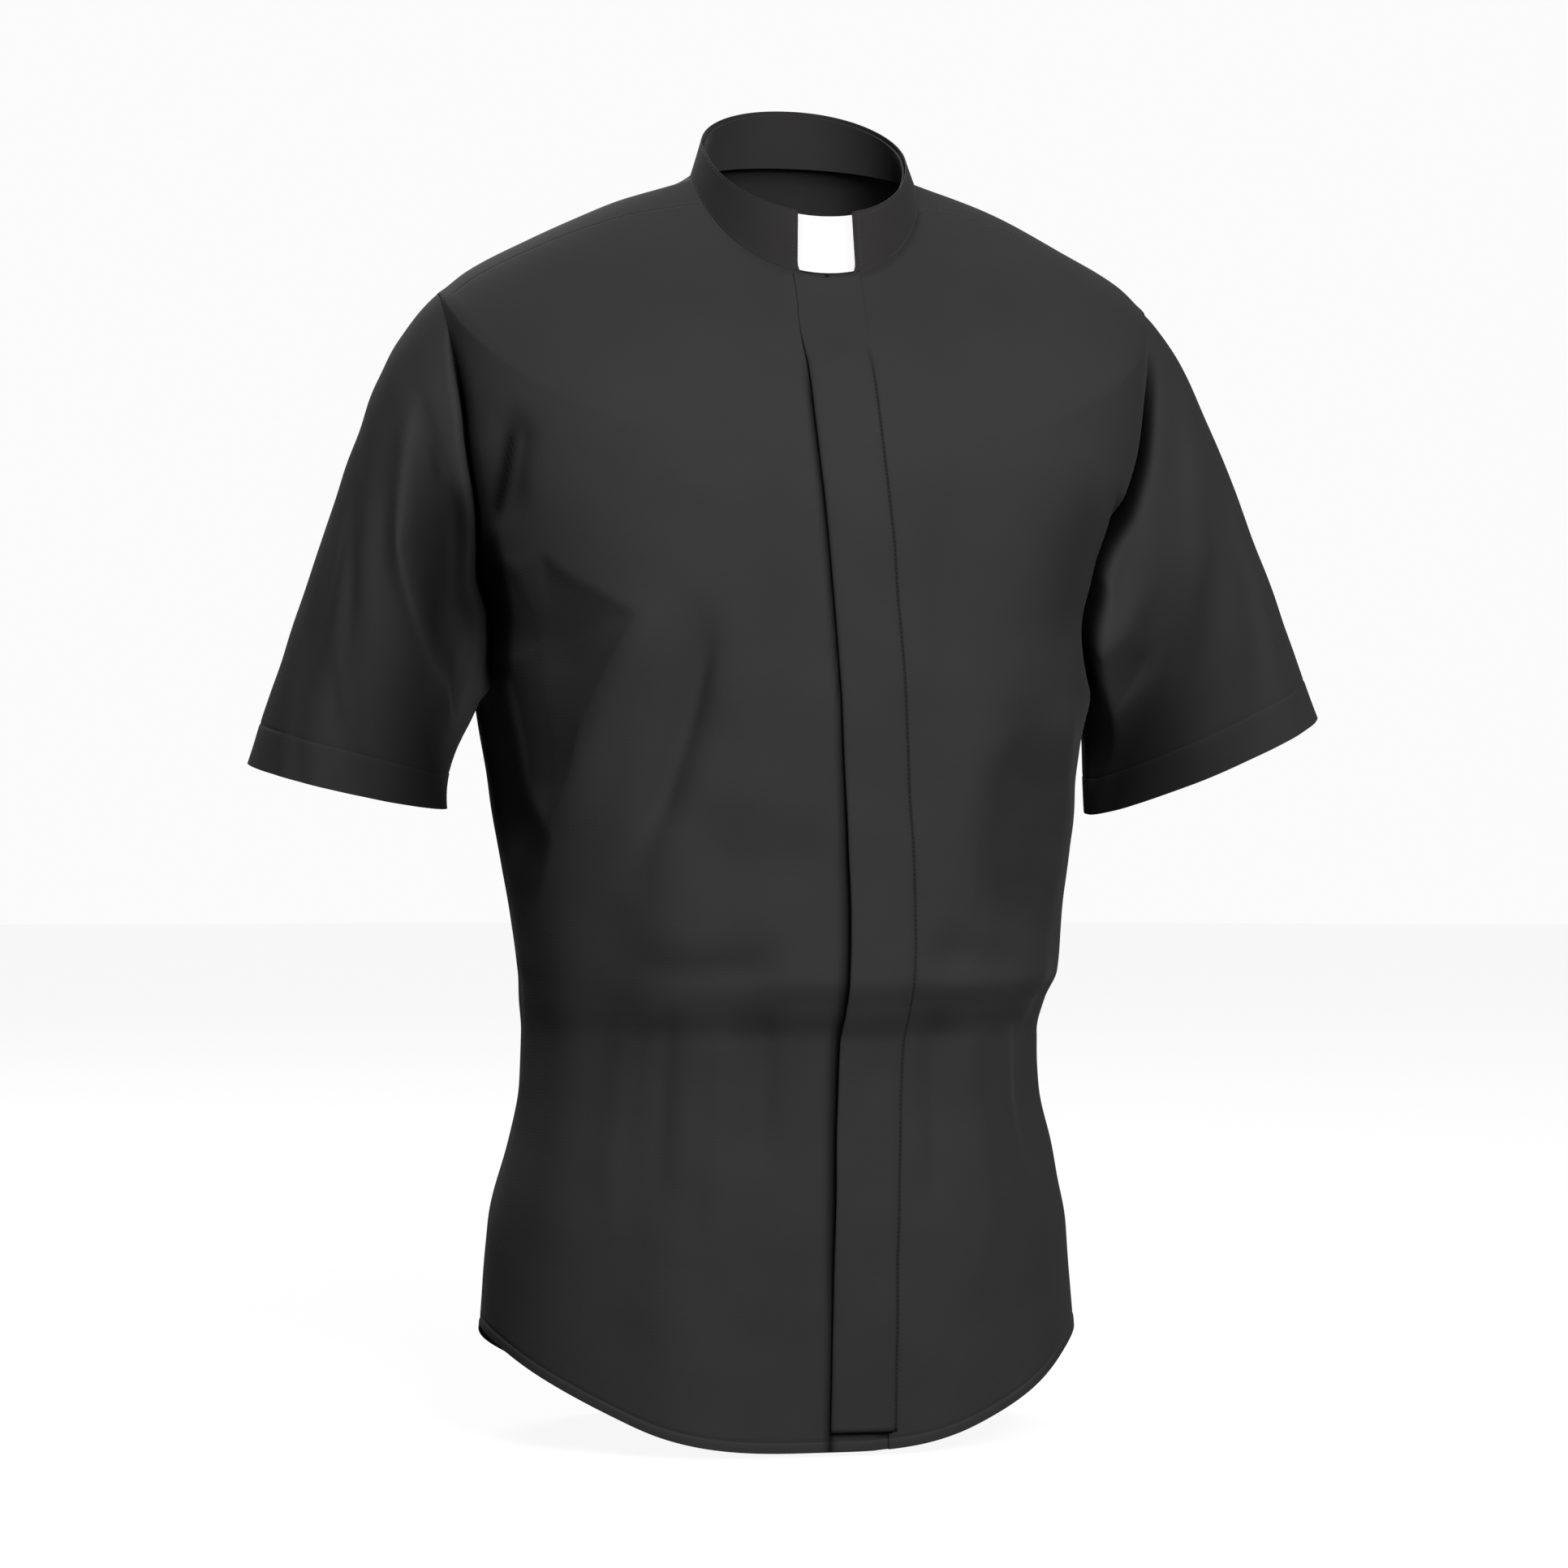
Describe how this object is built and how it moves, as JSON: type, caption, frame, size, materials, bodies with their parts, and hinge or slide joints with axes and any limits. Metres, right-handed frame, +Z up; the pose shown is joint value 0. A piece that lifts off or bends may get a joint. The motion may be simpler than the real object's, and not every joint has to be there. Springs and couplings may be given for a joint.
{
  "type": "clergy shirt",
  "caption": "Short-sleeved black clergy shirt with a stand collar, white collar tab and covered button front, in worn form.",
  "frame": {"origin": "middle of the neck ring, level with the sides of the collar's seam", "axes": "+X towards the wearer's left, -Y towards the front, +Z up along the neck"},
  "size_m": [0.6711, 0.2718, 0.8171],
  "materials": {
    "black_poplin": "fine matt poplin weave, worn creases",
    "fused_collar_cloth": "the same poplin over a fused interlining, smooth and firm",
    "white_tab_plastic": "smooth white plastic strip, satin",
    "black_button": "moulded four-hole shirt button, satin"
  },
  "bodies": {
    "root": {"right_front": "black_poplin", "left_front": "black_poplin", "back": "black_poplin", "yoke": "black_poplin", "front_fly": "black_poplin", "right_sleeve": "black_poplin", "left_sleeve": "black_poplin", "collar_stand": "fused_collar_cloth", "neckband": "fused_collar_cloth", "white_tab": "white_tab_plastic", "button_1": "black_button", "button_2": "black_button", "button_3": "black_button", "button_4": "black_button", "button_5": "black_button", "button_6": "black_button", "button_7": "black_button"}
  },
  "joints": []
}
